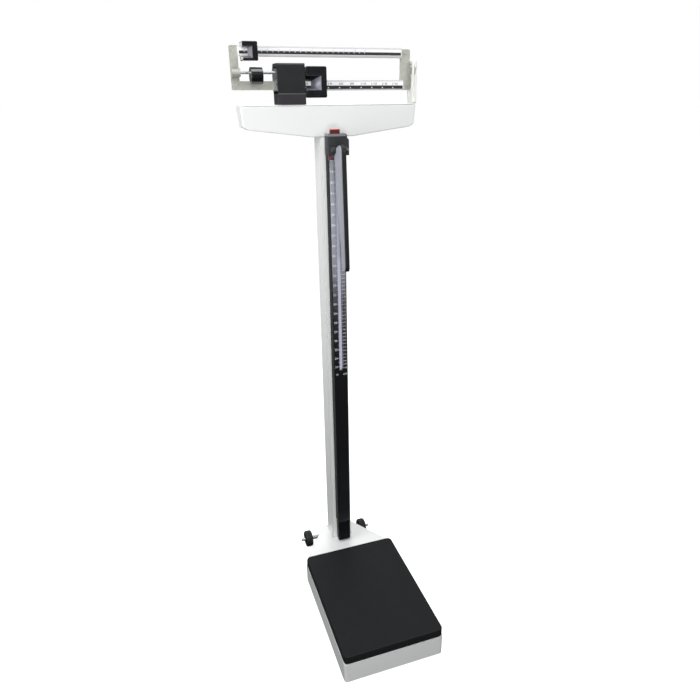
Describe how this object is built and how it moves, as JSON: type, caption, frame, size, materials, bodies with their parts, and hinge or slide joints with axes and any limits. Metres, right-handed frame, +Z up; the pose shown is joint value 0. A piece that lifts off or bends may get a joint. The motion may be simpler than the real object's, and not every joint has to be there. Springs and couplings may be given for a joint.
{
  "type": "mechanical column scale",
  "caption": "Mechanical column scale: two-bar weighing beam with sliding poises at eye level, square column with height rod and folding headpiece, low rubber-topped platform and rear transport wheels.",
  "frame": {"origin": "floor plane under the middle of the footprint", "axes": "+Z up, +X to the right of a person who faces the beam, front towards -Y"},
  "size_m": [0.4467, 0.5452, 1.4503],
  "materials": {
    "enamel": "smooth semi-gloss white enamel on pressed steel",
    "rubber": "matt black moulded rubber",
    "black_plastic": "satin black moulded plastic",
    "black_paint": "black enamel on cast metal",
    "grey_plastic": "glossy light grey plastic",
    "red_plastic": "red moulded plastic",
    "nickel_plate": "satin nickel-plated steel plate",
    "scale_bar": "satin-plated graduated steel bar with black-filled marks",
    "alloy": "satin anodised aluminium",
    "steel": "plain machined steel",
    "cast_iron": "dull grey cast iron"
  },
  "bodies": {
    "root": {"base_pan": "enamel", "neck_cover": "enamel", "foot_front_left": "rubber", "foot_front_right": "rubber", "foot_rear_left": "rubber", "foot_rear_right": "rubber", "long_lever_stand_left": "cast_iron", "long_lever_stand_right": "cast_iron", "short_lever_stand_left": "cast_iron", "short_lever_stand_right": "cast_iron", "column_tube": "enamel", "column_flange": "cast_iron", "column_lower_screw": "steel", "height_rod_profile": "black_plastic", "profile_end_cap": "black_plastic", "slot_stop": "steel", "shelf_box": "enamel", "shelf_top": "enamel", "fulcrum_housing": "black_plastic", "fulcrum_stand": "steel", "trig_loop": "enamel", "transfer_stand": "steel", "transfer_pin": "steel", "axle": "steel", "axle_cap_left": "steel", "axle_cap_right": "steel", "axle_bracket_left": "steel", "axle_bracket_right": "steel"},
    "platform": {"platform_cover": "rubber", "platform_frame": "cast_iron"},
    "long_lever": {"long_lever": "cast_iron", "lever_stirrup": "steel"},
    "short_lever": {"short_lever": "cast_iron"},
    "draft_rod": {"draft_rod": "steel"},
    "transfer_lever": {"transfer_lever": "cast_iron"},
    "beam_stirrup": {"beam_stirrup": "steel"},
    "beam": {"upper_bar": "scale_bar", "lower_bar": "scale_bar", "left_end_plate": "nickel_plate", "right_end_plate": "nickel_plate", "rivet_upper_left": "nickel_plate", "rivet_lower_left": "nickel_plate", "rivet_upper_right": "nickel_plate", "rivet_lower_right": "nickel_plate", "pivot_block": "steel", "fulcrum_knife": "steel", "load_knife": "steel", "balance_rod": "steel"},
    "large_poise": {"large_poise": "black_paint"},
    "small_poise": {"small_poise": "black_paint"},
    "balance_weight": {"balance_weight": "black_paint"},
    "inner_rod": {"inner_rod": "alloy"},
    "slider": {"slider_body": "black_plastic", "index_mark": "red_plastic", "headpiece_pin": "steel"},
    "headpiece": {"headpiece_arm": "black_plastic", "headpiece_panel": "grey_plastic"},
    "release_button": {"release_button": "red_plastic"},
    "wheel_left": {"wheel_left": "black_plastic"},
    "wheel_right": {"wheel_right": "black_plastic"}
  },
  "joints": [
    {"name": "beam_tilt", "type": "hinge", "parent": "root", "child": "beam", "pos_m": [-0.08, 0.1946, 1.3584], "axis": [0, 1, 0], "range_deg": [-1.25, 1.25], "stiffness_Nm_per_rad": 2, "springref_deg": -17.65},
    {"name": "beam_stirrup_slide", "type": "slide", "parent": "root", "child": "beam_stirrup", "axis": [0, 0, 1], "range_m": [-0.00068, 0.00068]},
    {"name": "transfer_lever_tilt", "type": "hinge", "parent": "root", "child": "transfer_lever", "pos_m": [0.15, 0.1941, 1.297], "axis": [0, 1, 0], "range_deg": [-0.15319, 0.15319]},
    {"name": "draft_rod_slide", "type": "slide", "parent": "root", "child": "draft_rod", "axis": [0, 0, 1], "range_m": [-0.000401, 0.000401]},
    {"name": "long_lever_tilt", "type": "hinge", "parent": "root", "child": "long_lever", "pos_m": [0, -0.2444, 0.026], "axis": [1, 0, 0], "range_deg": [-0.0524, 0.0524]},
    {"name": "short_lever_tilt", "type": "hinge", "parent": "root", "child": "short_lever", "pos_m": [0, 0.0756, 0.026], "axis": [1, 0, 0], "range_deg": [-0.0524, 0.0524]},
    {"name": "platform_travel", "type": "slide", "parent": "root", "child": "platform", "axis": [0, 0, 1], "range_m": [-0.0000366, 0.0000366]},
    {"name": "large_poise_slide", "type": "slide", "parent": "beam", "child": "large_poise", "axis": [1, 0, 0], "range_m": [0, 0.185]},
    {"name": "small_poise_slide", "type": "slide", "parent": "beam", "child": "small_poise", "axis": [1, 0, 0], "range_m": [0, 0.326]},
    {"name": "balance_weight_slide", "type": "slide", "parent": "beam", "child": "balance_weight", "axis": [1, 0, 0], "range_m": [-0.015, 0.028]},
    {"name": "rod_extend", "type": "slide", "parent": "root", "child": "inner_rod", "axis": [0, 0, 1], "range_m": [0, 0.86]},
    {"name": "slider_travel", "type": "slide", "parent": "inner_rod", "child": "slider", "axis": [0, 0, 1], "range_m": [-0.53, 0]},
    {"name": "headpiece_fold", "type": "hinge", "parent": "slider", "child": "headpiece", "pos_m": [0, 0.1206, 1.226], "axis": [-1, 0, 0], "range_deg": [0, 79]},
    {"name": "button_press", "type": "slide", "parent": "slider", "child": "release_button", "axis": [0, 0, -1], "range_m": [0, 0.005], "stiffness_N_per_m": 300},
    {"name": "wheel_left_spin", "type": "hinge", "parent": "root", "child": "wheel_left", "pos_m": [-0.09, 0.2476, 0.026], "axis": [1, 0, 0], "continuous": true},
    {"name": "wheel_right_spin", "type": "hinge", "parent": "root", "child": "wheel_right", "pos_m": [0.09, 0.2476, 0.026], "axis": [1, 0, 0], "continuous": true}
  ],
  "couplings": [
    {"joint": "beam_stirrup_slide", "follows": "beam_tilt", "m_per_rad": 0.025},
    {"joint": "transfer_lever_tilt", "follows": "beam_tilt", "ratio": 0.098039},
    {"joint": "draft_rod_slide", "follows": "beam_tilt", "m_per_rad": 0.014706},
    {"joint": "long_lever_tilt", "follows": "beam_tilt", "ratio": 0.033537},
    {"joint": "short_lever_tilt", "follows": "beam_tilt", "ratio": -0.033537},
    {"joint": "platform_travel", "follows": "beam_tilt", "m_per_rad": 0.0013415}
  ]
}
